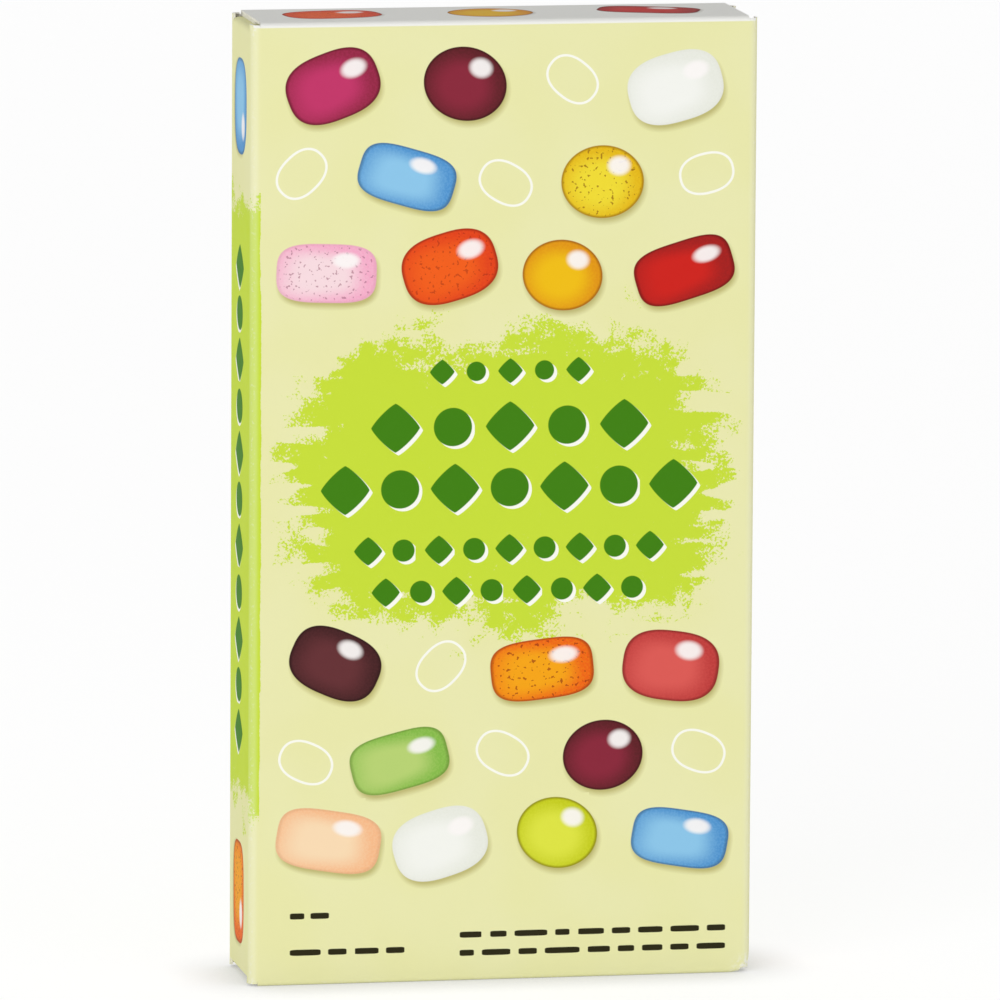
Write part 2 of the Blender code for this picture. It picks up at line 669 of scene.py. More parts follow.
@dataclass
class Board:
    """The carton's one glued blank, folded, shut and given its thickness.

    Attributes:
        sizes: the carton's sizes.
        pitch: the usual width of a face on the panels.
        inner_reach: length of an inner closing board.
        dust_reach: length of a dust flap.
        dust_taper: the width of its free edge against its root.
        slit: the scale of a dust flap's width at each step of its fold, which parts it from the creases.
        tab_reach: width of the glued tab inside the seam.
        ear: how far the ends of the upright creases stand up beside the folds.
        ear_lean: the scale of their edges, which lean in over the narrow sides.
        fill: how much of the solid's crown the board takes, on average.
        wave: how much that changes from place to place.
        wave_length: how far apart the changes are.
        knock: how far the front's lower right corner is knocked in.
        knock_radius: how far from the corner that reaches.
        knock_rumple: how uneven it is.
        knock_lumps: the size of its lumps.
        sharp_angle: the least angle that shows as an edge (degrees).
    """

    sizes: CartonSizes
    pitch: float = 1.6 * MM
    inner_reach: float = 13.0 * MM
    dust_reach: float = 17.0 * MM
    dust_taper: float = 0.86
    slit: float = 0.997
    tab_reach: float = 11.0 * MM
    ear: float = 0.5 * MM
    ear_lean: Numbers = (1.001, 0.985, 1.0)
    fill: float = 0.8
    wave: float = 0.18
    wave_length: float = 24.0 * MM
    knock: float = 0.6 * MM
    knock_radius: float = 3.8 * MM
    knock_rumple: float = 0.6
    knock_lumps: float = 1.2 * MM
    sharp_angle: float = 32.0

    def build(self, finishes: list[bpy.types.Material]) -> bpy.types.Object:
        """Grows, folds and thickens the blank.

        Args:
            finishes: the materials of the printed face, the inside and the cut edges.

        Returns:
            The board's object.
        """
        sheet = Sheet("carton_board")
        self._front(sheet)
        for side in (-1, 1):
            self._wrap(sheet, side)
        for end in (-1, 1):
            self._clear_end(sheet, end)
            self._close_end(sheet, end)
            self._corner_ears(sheet, end)
        sheet.close()
        self._form(sheet.item)
        self._thicken(sheet.item, finishes)
        return sheet.item

    @property
    def flat(self) -> float:
        """Half the width of a closing board, which is the flat of the front and the back."""
        return self.sizes.half_width - self.sizes.flap_inset

    def _level(self, end: int, laps: int) -> float:
        """The height at which a fold starts, under a number of lapped boards, at one end."""
        s = self.sizes
        return s.height / 2 + end * (s.height / 2 - s.fold - laps * s.lap)

    def _rows(self, length: float) -> int:
        """How many rows of faces cover a length."""
        return max(1, round(length / self.pitch))

    def _front(self, sheet: Sheet) -> None:
        """Lays the front panel, with two short rows at each end for the lapped folds."""
        s = self.sizes
        foot = self._level(-1, 2)
        top = self._level(1, 2)
        low = (-self.flat, -s.half_depth, foot)
        high = (self.flat, -s.half_depth, top)
        sheet.start(low, high, self._rows(2 * self.flat), self._rows(top - foot))
        for end, level in ((-1, foot), (1, top)):
            sheet.pick_border(lambda at: abs(at.z - level) < 0.01 * MM)
            sheet.head(1, end, level)
            sheet.grow((0.0, 0.0, 2 * end * s.lap), 2)

    def _wrap(self, sheet: Sheet, side: int) -> None:
        """Wraps the sheet round from one edge of the front panel.

        Args:
            sheet: the sheet so far.
            side: -1 for the left side and the back, 1 for the right side and the glued tab.
        """
        s = self.sizes
        upright = (0.0, 0.0, 1.0)
        turn = side * math.pi / 2
        bend_x = side * (s.half_width - s.crease)
        inset = s.flap_inset - s.crease
        tucked = s.lap if side > 0 else 0.0
        near = s.half_depth - s.crease - s.dust_half
        sheet.pick_border(lambda at: abs(at.x - side * self.flat) < 0.01 * MM)
        sheet.head(0, side, side * self.flat)
        sheet.grow((side * inset, 0.0, 0.0))
        sheet.curl((bend_x, s.crease - s.half_depth, 0.0), upright, turn, 2 * s.crease)
        sheet.grow((0.0, near, 0.0))
        sheet.grow((0.0, 2 * s.dust_half, 0.0), self._rows(2 * s.dust_half))
        sheet.grow((0.0, near - tucked, 0.0))
        sheet.curl((bend_x, s.half_depth - tucked - s.crease, 0.0), upright, turn, 2 * s.crease)
        if side > 0:
            sheet.grow((-self.tab_reach, 0.0, 0.0), self._rows(self.tab_reach))
            return
        sheet.grow((inset, 0.0, 0.0))
        sheet.grow((2 * self.flat, 0.0, 0.0), self._rows(2 * self.flat))
        sheet.grow((s.flap_inset - s.seam_inset, 0.0, 0.0))

    def _clear_end(self, sheet: Sheet, end: int) -> None:
        """Cuts away what stands above the folds of the sides, the back and the tab at one end."""
        s = self.sizes
        near = 0.1 * MM
        side_level = self._level(end, 2)
        back_level = self._level(end, 1)
        tab_y = s.half_depth - s.lap
        sheet.drop_faces(
            lambda at: end * (at.z - side_level) > 0
            and abs(at.x) > s.half_width - near
            and abs(at.y) < s.dust_half
        )
        sheet.drop_faces(
            lambda at: end * (at.z - side_level) > 0
            and abs(at.y - tab_y) < near
            and 0 < at.x < s.half_width - s.crease
        )
        sheet.drop_faces(
            lambda at: end * (at.z - back_level) > 0
            and at.y > s.half_depth - near
            and abs(at.x) < self.flat
        )

    def _close_end(self, sheet: Sheet, end: int) -> None:
        """Folds in the dust flaps, the inner closing board and the outer one at one end."""
        s = self.sizes
        quarter = math.pi / 2
        bend_y = s.half_depth - s.fold
        reach = 0.02 * MM
        for side in (-1, 1):
            level = self._level(end, 2)
            sheet.pick_border(
                lambda at: abs(at.z - level) < reach
                and abs(at.x - side * s.half_width) < reach
                and abs(at.y) < s.dust_half
            )
            sheet.head(1, end, level)
            centre = (side * (s.half_width - s.fold), 0.0, level)
            sheet.curl(centre, (0.0, 1.0, 0.0), -end * side * quarter, 2 * s.fold, (1.0, self.slit, 1.0))
            sheet.grow((-side * self.dust_reach, 0.0, 0.0), self._rows(self.dust_reach))
            sheet.taper((1.0, self.dust_taper, 1.0))
        for laps, hinge, length in ((1, 1, self.inner_reach), (0, -1, s.depth - s.fold - s.flap_short)):
            level = self._level(end, laps)
            sheet.pick_border(
                lambda at: abs(at.z - level) < reach
                and abs(at.y - hinge * s.half_depth) < reach
                and abs(at.x) < self.flat
            )
            sheet.head(1, end, level)
            centre = (0.0, hinge * bend_y, level)
            narrow = (1 - (1 - self.slit) * s.dust_half / self.flat, 1.0, 1.0)
            sheet.curl(centre, (1.0, 0.0, 0.0), hinge * end * quarter, 2 * s.fold, narrow)
            sheet.grow((0.0, -hinge * length, 0.0), self._rows(length))

    def _corner_ears(self, sheet: Sheet, end: int) -> None:
        """Raises the ends of the four upright creases beside the folds, leaning in a little."""
        level = self._level(end, 0)
        near = 0.02 * MM
        sheet.pick_border(
            lambda at: abs(at.z - level) < near
            and abs(at.x) > self.flat + near
            and abs(at.y) > self.sizes.dust_half + near
        )
        sheet.head(1, end, level)
        sheet.grow((0.0, 0.0, end * self.ear), 2)
        sheet.taper(self.ear_lean)

    def _form(self, item: bpy.types.Object) -> None:
        """Crowns the panels over the sweets, lets the board wave a little and knocks one corner in."""
        s = self.sizes
        flat_w = s.half_width - s.crease
        flat_d = s.half_depth - s.crease
        middle = s.height / 2
        straight = self._level(1, 2) - middle
        corner = Vector((s.half_width, -s.half_depth, 0.0))
        for vertex in item.data.vertices:
            x, y, z = vertex.co
            wave = self.fill + self.wave * noise.noise(vertex.co / self.wave_length)
            along = max(0.0, 1 - abs((z - middle) / straight) ** 4)
            if abs(y) > flat_d:
                across = max(0.0, 1 - (x / flat_w) ** 2)
                vertex.co.y += math.copysign(s.face_crown * wave * along * across, y)
            if abs(x) > flat_w:
                across = max(0.0, 1 - (y / flat_d) ** 2)
                vertex.co.x += math.copysign(s.side_crown * wave * along * across, x)
            reach = max(0.0, 1 - (vertex.co - corner).length / self.knock_radius)
            rumple = 1 + self.knock_rumple * noise.noise(vertex.co / self.knock_lumps)
            vertex.co += Vector((-1.0, 0.7, 0.9)) * self.knock * reach**2 * rumple
        item.data.update()

    def _thicken(self, item: bpy.types.Object, finishes: list[bpy.types.Material]) -> None:
        """Gives the board its thickness, inwards, and its finishes, and smooths all but its cut edges."""
        for finish in finishes:
            item.data.materials.append(finish)
        bpy.ops.object.select_all(action="DESELECT")
        item.select_set(True)
        bpy.context.view_layer.objects.active = item
        wall = item.modifiers.new("wall", "SOLIDIFY")
        wall.thickness = self.sizes.board
        wall.offset = -1.0
        wall.use_even_offset = True
        wall.material_offset = 1
        wall.material_offset_rim = 2
        bpy.ops.object.modifier_apply(modifier=wall.name)
        bpy.ops.object.shade_smooth_by_angle(angle=math.radians(self.sharp_angle))


# ---------------------------------------------------------------------------------------------------
# The print
# ---------------------------------------------------------------------------------------------------


@dataclass
class PrintPlan:
    """Where everything is printed, and the writing of it to the board's mesh.

    Each face of the mesh is given the one shape and the one field that it may show, in the shape's own
    coordinates, so that the ink stays sharp at any size.

    Attributes:
        sizes: the carton's sizes.
        seed: the start of the random draws.
        margin: bare ground kept at each edge of a panel (mm).
        shapes: the shapes, once they are laid out.
        fields: the brushed fields, once they are laid out.
    """

    sizes: CartonSizes
    seed: int = 11
    margin: float = 2.6
    shapes: list[Shape] = field(default_factory=list)
    fields: list[BrushField] = field(default_factory=list)

    FORMS = (Form.PILLOW, Form.LENTIL, Form.PASTILLE)
    RING_SHARE = 0.62
    LEAN = 24.0

    def build(self) -> None:
        """Lays out the front, the two sides, the back and the closing boards."""
        draw = random.Random(self.seed)
        self._front(draw)
        for side in (-1, 1):
            self._side(side)
        self._back(draw)
        for end in (-1, 1):
            self._closing_board(draw, end)

    @property
    def height(self) -> float:
        """The carton's height (mm)."""
        return self.sizes.height / MM

    @property
    def half_width(self) -> float:
        """Half the carton's width (mm)."""
        return self.sizes.half_width / MM

    @property
    def depth(self) -> float:
        """The carton's depth (mm)."""
        return self.sizes.depth / MM

    def _sweets(
        self,
        draw: random.Random,
        middle: tuple[float, float],
        pattern: str,
        first: int,
        style: Style = Style.GLOSSY,
    ) -> None:
        """Prints a row of sweets and outlines across a wide panel.

        Args:
            draw: the random draws.
            middle: the row's middle (mm).
            pattern: o for each sweet and . for each outline, from the left.
            first: which colour and form the row starts with.
            style: how the sweets are printed.
        """
        weights = [1.0 if mark == "o" else self.RING_SHARE for mark in pattern]
        span = 2 * (self.half_width - self.margin) / sum(weights)
        colours = list(Candy)
        at = middle[0] - self.half_width + self.margin
        for index, (mark, weight) in enumerate(zip(pattern, weights)):
            across = at + weight * span / 2 + draw.uniform(-0.7, 0.7)
            place = (across, middle[1] + draw.uniform(-1.1, 1.1))
            at += weight * span
            turn = draw.uniform(-self.LEAN, self.LEAN)
            number = first + index
            if mark == "o":
                ink = colours[(7 * number) % len(colours)].value
                form = self.FORMS[number % len(self.FORMS)]
                self.shapes.append(Shape(place, form, ink, style, turn, draw.uniform(0.95, 1.03)))
            else:
                self.shapes.append(Shape(place, Form.RING, CHALK, Style.LINE, 2 * turn))

    def _stamps(
        self,
        middle: tuple[float, float],
        count: int,
        scale: float,
        step: float,
        down: bool = False,
    ) -> None:
        """Prints a line of diamonds and dots in turn.

        Args:
            middle: the line's middle (mm).
            count: how many there are.
            scale: their size.
            step: from one middle to the next (mm).
            down: whether the line runs down the panel.
        """
        for index in range(count):
            along = (index - (count - 1) / 2) * step
            place = (middle[0], middle[1] - along) if down else (middle[0] + along, middle[1])
            form = Form.DOT if index % 2 else Form.DIAMOND
            upright = -90.0 if down else 0.0
            shape = Shape(place, form, LEAF, Style.STAMP, upright, scale, upright=upright)
            self.shapes.append(shape)

    def _dashes(self, start: tuple[float, float], lengths: Numbers, ink: Ink, gap: float = 1.5) -> None:
        """Prints a line of dashes.

        Args:
            start: the left end of the line (mm).
            lengths: each dash's length against the plain one.
            ink: their colour.
            gap: the bare stretch between them (mm).
        """
        at, up = start
        for length in lengths:
            half = Form.DASH.value[0] * length
            self.shapes.append(Shape((at + half, up), Form.DASH, ink, Style.FLAT, stretch=length))
            at += 2 * half + gap

    def _front(self, draw: random.Random) -> None:
        """Sweets above and below a brushed field, which holds five lines of stamps."""
        top = self.height
        rows = (
            (10.5, "oo.o"),
            (25.5, ".o.o."),
            (41.0, "oooo"),
            (105.0, "o.oo"),
            (119.5, ".o.o."),
            (134.0, "oooo"),
        )
        for number, (fall, pattern) in enumerate(rows):
            self._sweets(draw, (0.0, top - fall), pattern, 4 * number)
        self.fields.append(BrushField((0.5, top - 75.0), (40.2, 28.2), 7.0, 5.6))
        lines = (
            (57.0, 5, 0.48, 5.6),
            (66.0, 5, 0.95, 9.4),
            (76.0, 7, 0.95, 9.0),
            (86.0, 9, 0.55, 5.8),
            (92.8, 8, 0.55, 5.8),
        )
        for fall, count, scale, step in lines:
            self._stamps((1.0, top - fall), count, scale, step)
        self._dashes((-34.8, 11.4), (0.7, 0.9), DARK, gap=1.0)
        self._dashes((-34.8, 5.4), (1.5, 0.9, 1.2, 0.9), DARK, gap=1.2)
        for up, lengths in (
            (7.6, (1.1, 0.8, 1.6, 0.7, 1.3, 0.9, 1.2, 1.4, 0.9)),
            (4.6, (0.7, 1.4, 0.9, 1.7, 1.1, 0.8, 1.0, 0.9, 1.4)),
        ):
            self._dashes((-6.8, up), lengths, DARK, gap=1.3)

    def _side(self, side: int) -> None:
        """A sweet at each end of a narrow side, and a brushed strip with one line of stamps."""
        middle = side * (self.half_width + self.depth / 2)
        height = self.height
        wrap = 1.85 if side < 0 else -1.8
        half = (self.depth / 2 + wrap, 53.5)
        self.fields.append(BrushField((middle, height / 2), half, 6.0, 0.12, lead=1.0))
        self._stamps((middle, height / 2), 11, 0.85, 7.6, down=True)
        ends = ((height - 14.5, Form.PILLOW, Candy.BLUE), (14.0, Form.PASTILLE, Candy.ORANGE))
        for up, form, candy in ends:
            shape = Shape((middle, up), form, candy.value, Style.GLOSSY, -90.0, 1.0, upright=-90.0)
            self.shapes.append(shape)

    def _back(self, draw: random.Random) -> None:
        """Sweets at the top and the foot of the back, and a brushed field with plain dashes."""
        middle = -2 * self.half_width - self.depth
        top = self.height
        for number, (fall, pattern) in enumerate(((11.0, "o.oo"), (26.0, "oo.o"), (146.0, "oooo"))):
            self._sweets(draw, (middle, top - fall), pattern, 5 * number + 2)
        self.fields.append(BrushField((middle, top - 85.0), (39.0, 50.0), 6.5, 4.8))
        self._stamps((middle, top - 46.0), 7, 0.95, 9.2)
        lengths = (1.2, 0.8, 1.5, 1.0, 0.7, 1.3, 0.9, 1.1, 1.4, 0.8, 1.2)
        for line in range(13):
            shuffled = lengths[line % 5:] + lengths[: line % 5]
            count = 5 if line % 4 == 3 else 10
            self._dashes((middle - 29.0, top - 58.0 - 5.0 * line), shuffled[:count], LEAF, gap=1.7)

    def _closing_board(self, draw: random.Random, end: int) -> None:
        """Sweets along the outer closing board at one end."""
        middle = self.height / 2 + end * (self.height / 2 + self.depth / 2)
        self._sweets(draw, (0.0, middle), "ooo", 3 + 6 * end, Style.ON_WHITE)

    def lay(self, item: bpy.types.Object) -> None:
        """Writes the print to the corners of the board's outer faces.

        Args:
            item: the board, whose points keep their place on the blank.
        """
        mesh = item.data
        blank = np.empty(3 * len(mesh.vertices), np.float32)
        mesh.attributes[Sheet.PLACES].data.foreach_get("vector", blank)
        corner_points = np.empty(len(mesh.loops), np.int32)
        mesh.loops.foreach_get("vertex_index", corner_points)
        counts = np.empty(len(mesh.polygons), np.int32)
        mesh.polygons.foreach_get("loop_total", counts)
        faces = np.repeat(np.arange(len(counts)), counts)
        corners = blank.reshape(-1, 3)[corner_points, :2]
        middles = np.zeros((len(counts), 2))
        np.add.at(middles, faces, corners)
        middles /= counts[:, None]
        chosen = self._nearest_shapes(middles)[faces]
        for name, values in self._shape_values(corners, chosen).items():
            self._write(mesh, name, values)
        picked = self._nearest_fields(middles)[faces]
        for name, values in self._field_values(corners, picked).items():
            self._write(mesh, name, values)

    def _nearest_shapes(self, middles: np.ndarray) -> np.ndarray:
        """Finds the shape that each face may show.

        Args:
            middles: the faces' middles on the blank (mm).

        Returns:
            The number of the shape with the least distance against its own size.
        """
        found = []
        for shape in self.shapes:
            turn = math.radians(shape.turn)
            right, up = (middles - shape.place).T
            along = (right * math.cos(turn) + up * math.sin(turn)) / (shape.half[0] + 1.0)
            across = (up * math.cos(turn) - right * math.sin(turn)) / (shape.half[1] + 1.0)
            found.append(np.hypot(along, across))
        return np.argmin(found, axis=0)

    def _nearest_fields(self, middles: np.ndarray) -> np.ndarray:
        """Finds the brushed field that each face may show."""
        found = []
        for brush in self.fields:
            outside = np.max(np.abs(middles - brush.place) - brush.half, axis=1)
            found.append(outside - brush.lead)
        return np.argmin(found, axis=0)

    def _shape_values(self, corners: np.ndarray, chosen: np.ndarray) -> dict[str, np.ndarray]:
        """Works out what the print's shader reads of the shapes.

        Args:
            corners: the corners' places on the blank (mm).
            chosen: the number of each corner's shape.

        Returns:
            Three numbers for each corner, under the names that they are stored by.
        """
        turns = np.radians([shape.turn for shape in self.shapes])[chosen]
        right, up = (corners - np.array([shape.place for shape in self.shapes])[chosen]).T
        lines = np.array([shape.style.value.line for shape in self.shapes])[chosen]
        along = right * np.cos(turns) + up * np.sin(turns)
        across = up * np.cos(turns) - right * np.sin(turns)
        rows = [shape.stored() for shape in self.shapes]
        values = {name: np.array([row[name] for row in rows])[chosen] for name in rows[0]}
        values["print_place"] = np.column_stack((along, across, lines))
        return values

    def _field_values(self, corners: np.ndarray, picked: np.ndarray) -> dict[str, np.ndarray]:
        """Works out what the print's shader reads of the brushed fields."""
        places = corners - np.array([brush.place for brush in self.fields])[picked]
        ragged = np.array([brush.ragged for brush in self.fields])[picked]
        halves = np.array([(*brush.half, brush.loose) for brush in self.fields])[picked]
        return {"field_place": np.column_stack((places, ragged)), "field_size": halves}

    def _write(self, mesh: bpy.types.Mesh, name: str, values: np.ndarray) -> None:
        """Stores three numbers at each corner of a mesh."""
        entry = mesh.attributes.new(name, "FLOAT_VECTOR", "CORNER")
        entry.data.foreach_set("vector", np.ascontiguousarray(values, np.float32).ravel())


# ---------------------------------------------------------------------------------------------------
# Finishes
# ---------------------------------------------------------------------------------------------------


@dataclass(frozen=True)
class PrintedBoard:
    """Coated board under offset print: ground, brushed lime, shapes, creases whitened by wear, and a
    painted highlight along the upright creases.

    Attributes:
        sizes: the carton's sizes.
        ground: the pale ground colour.
        paper: bare coated board, which shows on the closing boards, at worn places and as the painted
            highlight along the upright creases.
        lime: the brushed fields' colour.
        gleam: the colour of the highlights printed on the sweets.
        roughness: the least roughness of the coating.
        specular: how strongly the coating reflects, against plain gloss.
        fibres: how many lumps of fibre there are to a millimetre.
        relief: the height of the fibres.
        grit: how many grains the dry brush leaves to a millimetre.
        bristles: how many of its strokes there are to a millimetre, along them and across them.
        sharp: how soft the edges of the shapes are (mm).
        crease_highlight_reach: how far from an upright crease's middle its painted highlight reaches
            (mm).
        knock_reach: how far from the knocked corner the ink is rubbed off (mm).
    """

    sizes: CartonSizes
    ground: Numbers = linear(233, 232, 172)
    paper: Numbers = linear(247, 247, 242)
    lime: Numbers = linear(199, 222, 56)
    gleam: Numbers = linear(252, 248, 246)
    roughness: float = 0.58
    specular: float = 0.15
    fibres: float = 1.6
    relief: float = 0.012 * MM
    grit: float = 2.4
    bristles: Numbers = (0.06, 0.26, 1.0)
    sharp: float = 0.12
    crease_highlight_reach: float = 1.7
    knock_reach: float = 4.4

    def make(self) -> bpy.types.Material:
        """Builds the material.

        Returns:
            The printed board's material.
        """
        g = Graph("printed_face")
        sheet = g.stored(Sheet.PLACES)
        right, up, _ = g.parts(sheet)
        colour = self._grounds(g, sheet, right, up)
        colour = g.mix(self._brushed(g, sheet), colour, self.lime)
        colour = self._shapes(g, sheet, colour)
        # Paper shows where the ink is worn, and along the upright creases as a painted highlight.
        colour = g.mix(self._wear_and_highlight(g, sheet, right, up), colour, self.paper)
        mottle = g.grain(sheet, 0.35)
        fibre = g.grain(sheet, self.fibres)
        g.dress(Base_Color=colour, Roughness=self.roughness + 0.12 * mottle + 0.06 * fibre)
        g.dress(Specular_IOR_Level=self.specular)
        g.bump(fibre, self.relief, 0.5)
        return g.material

    def _grounds(self, g: Graph, sheet: bpy.types.NodeSocket, right: Value, up: Value) -> Colour:
        """The ground colour, which stops at the fold at the top and past it at the foot."""
        s = self.sizes
        middle = s.height / 2 / MM
        fold = s.fold / MM
        beyond = abs(up - middle) - 2 * fold * (up < middle)
        bare = beyond.ramp(middle - fold - 0.05, middle - fold + 0.2) * (abs(right) < s.half_width / MM)
        tint = g.grain(sheet, 0.06, 1.0).ramp(0.3, 0.7)
        return g.mix(bare, g.mix(0.06 * tint, self.ground, self.paper), self.paper)

    def _brushed(self, g: Graph, sheet: bpy.types.NodeSocket) -> Value:
        """How much lime the dry brush has left, 0 to 1.

        Args:
            g: the material's graph.
            sheet: the place on the blank (mm).

        Returns:
            The cover, which breaks up into grit at a field's uneven edges.
        """
        across, along, ragged = g.parts(g.stored("field_place"))
        half_width, half_height, loose = g.parts(g.stored("field_size"))
        stroke = g.grain(g.scaled(sheet, self.bristles), 1.0, 1.0).ramp(0.40, 0.48)
        lump = g.grain(sheet, 0.11, 1.0) - 0.5
        patch = g.grain(sheet, 0.42, 2.0).ramp(0.3, 0.7)
        grit = g.grain(sheet, self.grit, 3.0).ramp(0.28, 0.72)
        bow = 2.2 * loose * (along / half_height) ** 2.0
        droop = 1.5 * loose * abs(across / half_width) ** 3.0
        sides = (half_width - bow - abs(across)) / loose + 0.9 * (stroke - 0.8) + 1.6 * lump
        ends = (half_height - droop - abs(along)) / ragged + 0.35 * (stroke - 0.5) + 2.0 * lump
        cover = sides.least(ends).ramp(-0.1, 1.7)
        return (1.25 * cover - 0.62 * grit - 0.46 * patch).ramp(0.0, 0.22)

    def _gauge(
        self, along: Value, across: Value, size: tuple[Value, Value, Value]
    ) -> tuple[Value, Value]:
        """Measures how far a place lies outside a shape.

        Args:
            along: the place along the shape (mm).
            across: the place across it (mm).
            size: its half length, half height and squareness.

        Returns:
            The distance from its middle against the edge's, and the way to the edge (mm).
        """
        long, high, square = size
        share = (abs(along / long) ** square + abs(across / high) ** square) ** (1.0 / square.most(1.0))
        reach = (along * along + across * across) ** 0.5
        return share, reach - reach / share.most(0.001)

    def _shapes(self, g: Graph, sheet: bpy.types.NodeSocket, below: Colour) -> Colour:
        """Prints the shapes, and the copies under them, over the colour below."""
        along, across, line = g.parts(g.stored("print_place"))
        size = g.parts(g.stored("print_size"))
        under_along, under_across, soft = g.parts(g.stored("print_under"))
        cover, flecks, outline = g.parts(g.stored("print_cover"))
        _, outside = self._gauge(along - under_along, across - under_across, size)
        copy = (0.5 - outside / soft).clamped() * cover
        colour = g.mix(copy, below, g.stored("ink_under"))
        share, outside = self._gauge(along, across, size)
        ink = self._ink(g, sheet, (along, across, share), size, (flecks, outline))
        edge = abs(outside + line) - line
        return g.mix((0.5 - edge / self.sharp).clamped(), colour, ink)

    def _ink(
        self,
        g: Graph,
        sheet: bpy.types.NodeSocket,
        place: tuple[Value, Value, Value],
        size: tuple[Value, Value, Value],
        marks: tuple[Value, Value],
    ) -> Colour:
        """Mixes a shape's own colours.

        Args:
            g: the material's graph.
            sheet: the place on the blank (mm).
            place: the place along the shape and across it (mm), and its share of the way to the edge.
            size: the shape's half length, half height and squareness.
            marks: how strongly its flecks and its dark outline show.

        Returns:
            The core's colour, which turns to the rim's, with grain, outline, flecks and highlight.
        """
        along, across, share = place
        flecks, outline = marks
        gleam_along, gleam_across, gleam = g.parts(g.stored("print_gleam"))
        core = g.stored("ink_core")
        rim = g.stored("ink_rim")
        to_light = (along * gleam_along + across * gleam_across) / (size[0] * size[1])
        ink = g.mix((share + 0.28 * to_light).ramp(0.38, 1.02), core, rim)
        ink = g.mix(gleam * g.grain(sheet, 2.6, 1.0).ramp(0.42, 0.6) * 0.16, ink, core)
        line_ink = g.mix(1.0, rim, (0.34, 0.24, 0.2), "MULTIPLY")
        ink = g.mix(gleam * outline * share.ramp(0.91, 0.985) * 0.85, ink, line_ink)
        speck = g.grain(sheet, 1.5, 1.0).ramp(0.655, 0.70) * flecks * share.ramp(0.99, 0.9)
        ink = g.mix(speck * 0.75, ink, g.mix(1.0, rim, (0.35, 0.2, 0.25), "MULTIPLY"))
        off_along = (along - gleam_along) / (0.26 * size[0])
        off_across = (across - gleam_across) / (0.25 * size[1])
        spot = (off_along * off_along + off_across * off_across).ramp(1.7, 0.35)
        return g.mix(gleam * spot * 0.9, ink, self.gleam)

    def _wear_and_highlight(self, g: Graph, sheet: bpy.types.NodeSocket, right: Value, up: Value) -> Value:
        """How far the ink is worn at the creases and the knocked corner, with a painted highlight along
        the upright creases, 0 to 1.
        """
        s = self.sizes
        half_width = s.half_width / MM
        half_depth = s.half_depth / MM
        middle = s.height / 2 / MM
        crease = abs(abs(abs(right) - half_width - half_depth) - half_depth)
        fold = abs(abs(up - middle) - middle)
        rub = g.grain(sheet, 1.5, 3.0)
        # Painted highlight: a smooth pale band along each upright crease, where the rounded crease would
        # catch the light.
        pale = crease.ramp(self.crease_highlight_reach, 0.5)
        cracks = crease.least(fold).ramp(1.0, 0.0) * rub.ramp(0.58, 0.66)
        corner = ((right - half_width) * (right - half_width) + up * up) ** 0.5
        knocked = corner.ramp(self.knock_reach, 0.6) * rub.ramp(0.44, 0.62)
        corners = (crease + fold).ramp(2.4, 0.4) * rub.ramp(0.4, 0.62)
        return (0.16 * pale + 0.18 * cracks + 0.7 * knocked + 0.5 * corners).clamped()


@dataclass(frozen=True)
class BareBoard:
    """Uncoated board: the blank's inside and its cut edges.

    Attributes:
        name: the material's name.
        pale: the lighter fibres' colour.
        dull: the darker fibres' colour.
        scale: how many fibre lumps there are to a millimetre.
        relief: the height of the fibres.
    """

    name: str
    pale: Numbers
    dull: Numbers
    scale: float
    relief: float

    def make(self) -> bpy.types.Material:
        """Builds the material.

        Returns:
            The bare board's material.
        """
        g = Graph(self.name)
        sheet = g.stored(Sheet.PLACES)
        fibre = g.grain(g.scaled(sheet, (1.0, 0.45, 1.0)), self.scale, 4.0)
        colour = g.mix(fibre.ramp(0.35, 0.68), self.dull, self.pale)
        g.dress(Base_Color=colour, Roughness=0.82 + 0.12 * fibre)
        g.bump(fibre, self.relief, 0.6)
        return g.material


# ---------------------------------------------------------------------------------------------------
# The carton
# ---------------------------------------------------------------------------------------------------


@dataclass
class Carton:
    """The printed, shut carton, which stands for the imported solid."""

    sizes: CartonSizes

    def build(self) -> bpy.types.Object:
        """Makes the board, prints it and sets it in the frame.

        Returns:
            The carton's one object.
        """
        board = Board(self.sizes).build([finish.make() for finish in self.finishes()])
        plan = PrintPlan(self.sizes)
        plan.build()
        plan.lay(board)
        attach(board, "root")
        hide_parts("carton")
        log.info("board: %d faces, %d printed shapes", len(board.data.polygons), len(plan.shapes))
        return board

    def finishes(self) -> tuple[PrintedBoard, BareBoard, BareBoard]:
        """The finishes of the printed face, the inside and the cut edges."""
        return (
            PrintedBoard(self.sizes),
            BareBoard("bare_inside", linear(226, 221, 206), linear(205, 199, 182), 1.4, 0.02 * MM),
            BareBoard("cut_edge", linear(244, 242, 232), linear(234, 231, 217), 2.4, 0.01 * MM),
        )


# ---------------------------------------------------------------------------------------------------
# The studio
# ---------------------------------------------------------------------------------------------------


@dataclass(frozen=True)
class Lamp:
    """A soft square light that faces the carton.

    Attributes:
        name: its name.
        way: its azimuth from the front and its elevation (degrees).
        distance: how far off it is.
        size: the length of its side.
        power: its power (W).
    """

    name: str
    way: tuple[float, float]
    distance: float
    size: float
    power: float


